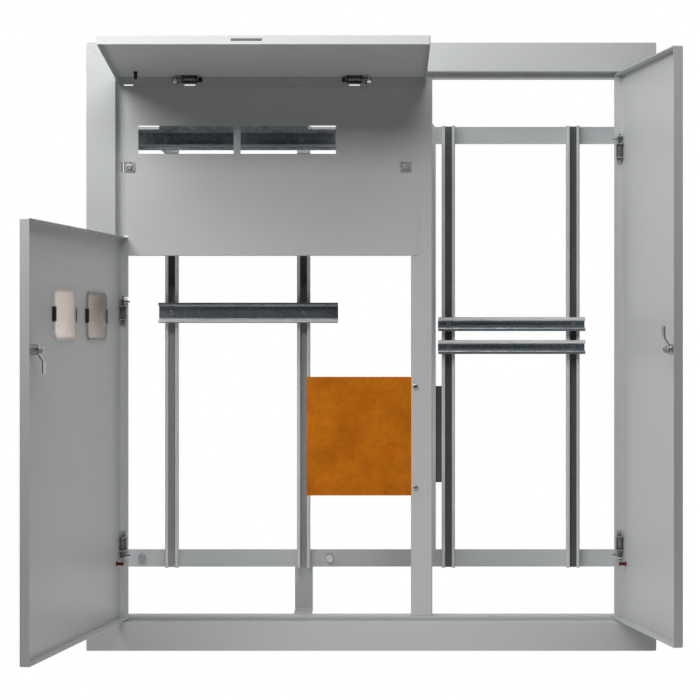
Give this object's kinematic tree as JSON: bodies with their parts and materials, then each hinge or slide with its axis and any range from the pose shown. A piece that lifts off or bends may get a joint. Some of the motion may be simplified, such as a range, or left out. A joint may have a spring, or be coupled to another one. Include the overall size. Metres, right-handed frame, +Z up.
{
  "type": "flush electrical enclosure",
  "caption": "Flush sheet-steel enclosure front with flanged frame, centre post, open tray doors with cam locks, a lifting flap, breaker cover, slotted uprights and hat rails.",
  "frame": {"origin": "centre of the back face of the lower flange, which lies on the wall", "axes": "+X to the right seen from the front, +Y back into the wall, +Z up"},
  "size_m": [0.9619, 0.6929, 1],
  "materials": {
    "paint": "satin powder coat",
    "rack_paint": "satin powder coat",
    "dark_steel": "dark satin coat",
    "spangled_zinc": "hot-dip galvanised with spangle",
    "bright_zinc": "bright zinc plate",
    "hinge_zinc": "zinc plate, slightly dull",
    "spring_steel": "drawn wire",
    "hardboard": "smooth pressed hardboard with fine mottle",
    "copper_stud": "coppered steel",
    "black_stud": "black oxide",
    "clear_pane": "clear moulded plastic",
    "black_clip": "matt black",
    "lock_body": "nickel plate",
    "lever_zinc": "zinc plate"
  },
  "bodies": {
    "cabinet": {"outer_frame": "paint", "centre_post": "paint", "crossbar_upper": "rack_paint", "crossbar_lower": "rack_paint", "upright_left_outer": "spangled_zinc", "upright_left_inner": "spangled_zinc", "upright_right_inner": "spangled_zinc", "upright_right_outer": "spangled_zinc", "sub_rack_bar_upper": "paint", "sub_rack_bar_lower": "paint", "divider_strip": "rack_paint", "link_plate": "dark_steel", "foot_strap": "rack_paint", "rack_bolts": "bright_zinc", "rack_nuts": "bright_zinc", "breaker_rail": "spangled_zinc", "rail_bracket": "spangled_zinc", "meter_rail": "spangled_zinc", "terminal_rail_upper": "spangled_zinc", "terminal_rail_lower": "spangled_zinc", "rail_screws": "bright_zinc", "channel_nuts": "bright_zinc", "breaker_cover": "paint", "cover_clips": "bright_zinc", "cover_screws": "bright_zinc", "meter_board": "hardboard", "board_screws": "bright_zinc", "small_nuts": "bright_zinc", "hinge_lugs": "paint"},
    "flap": {"flap_panel": "paint", "flap_hinge_brackets": "hinge_zinc", "flap_stud": "black_stud", "flap_spring_left": "spring_steel", "flap_spring_right": "spring_steel"},
    "left_door": {"left_door_panel": "paint", "left_hinge_brackets": "hinge_zinc", "left_earth_stud": "copper_stud", "left_spring_upper": "spring_steel", "left_spring_lower": "spring_steel", "left_lock_barrel": "lock_body", "window_panes": "clear_pane", "pane_clips": "black_clip"},
    "right_door": {"right_door_panel": "paint", "right_hinge_brackets": "hinge_zinc", "right_earth_stud": "copper_stud", "right_spring_upper": "spring_steel", "right_spring_lower": "spring_steel", "right_lock_barrel": "lock_body"},
    "left_lock": {"left_lock_core": "lock_body", "left_cam_lever": "lever_zinc", "left_cam_nut": "bright_zinc"},
    "right_lock": {"right_lock_core": "lock_body", "right_cam_lever": "lever_zinc", "right_cam_nut": "bright_zinc"},
    "flap_pin_left": {"flap_pin_left": "hinge_zinc"},
    "flap_pin_right": {"flap_pin_right": "hinge_zinc"},
    "left_pin_upper": {"left_pin_upper": "hinge_zinc"},
    "left_pin_lower": {"left_pin_lower": "hinge_zinc"},
    "right_pin_upper": {"right_pin_upper": "hinge_zinc"},
    "right_pin_lower": {"right_pin_lower": "hinge_zinc"}
  },
  "joints": [
    {"name": "flap_hinge", "type": "hinge", "parent": "cabinet", "child": "flap", "pos_m": [-0.16375, 0.0055, 0.917], "axis": [1, 0, 0], "range_deg": [-4.2, 95.8]},
    {"name": "left_door_hinge", "type": "hinge", "parent": "cabinet", "child": "left_door", "pos_m": [-0.4095, 0.0055, 0.3415], "axis": [0, 0, 1], "range_deg": [-4, 98.9]},
    {"name": "right_door_hinge", "type": "hinge", "parent": "cabinet", "child": "right_door", "pos_m": [0.4095, 0.0055, 0.476], "axis": [0, 0, 1], "range_deg": [-98.9, 4]},
    {"name": "left_lock_turn", "type": "hinge", "parent": "left_door", "child": "left_lock", "pos_m": [-0.48046, -0.44444, 0.472], "axis": [-0.988, 0.1547, 0], "range_deg": [0, 90]},
    {"name": "right_lock_turn", "type": "hinge", "parent": "right_door", "child": "right_lock", "pos_m": [0.45463, -0.27945, 0.472], "axis": [0.988, 0.1547, 0], "range_deg": [0, 90]},
    {"name": "flap_pin_left_slide", "type": "slide", "parent": "flap", "child": "flap_pin_left", "axis": [-1, 0, 0], "range_m": [-0.0055, 0], "stiffness_N_per_m": 700, "springref_m": 0.006, "deforming": ["flap_spring_left"]},
    {"name": "flap_pin_right_slide", "type": "slide", "parent": "flap", "child": "flap_pin_right", "axis": [1, 0, 0], "range_m": [-0.0055, 0], "stiffness_N_per_m": 700, "springref_m": 0.006, "deforming": ["flap_spring_right"]},
    {"name": "left_pin_upper_slide", "type": "slide", "parent": "left_door", "child": "left_pin_upper", "axis": [0, 0, 1], "range_m": [-0.0055, 0], "stiffness_N_per_m": 700, "springref_m": 0.006, "deforming": ["left_spring_upper"]},
    {"name": "left_pin_lower_slide", "type": "slide", "parent": "left_door", "child": "left_pin_lower", "axis": [0, 0, -1], "range_m": [-0.0055, 0], "stiffness_N_per_m": 700, "springref_m": 0.006, "deforming": ["left_spring_lower"]},
    {"name": "right_pin_upper_slide", "type": "slide", "parent": "right_door", "child": "right_pin_upper", "axis": [0, 0, 1], "range_m": [-0.0055, 0], "stiffness_N_per_m": 700, "springref_m": 0.006, "deforming": ["right_spring_upper"]},
    {"name": "right_pin_lower_slide", "type": "slide", "parent": "right_door", "child": "right_pin_lower", "axis": [0, 0, -1], "range_m": [-0.0055, 0], "stiffness_N_per_m": 700, "springref_m": 0.006, "deforming": ["right_spring_lower"]}
  ]
}
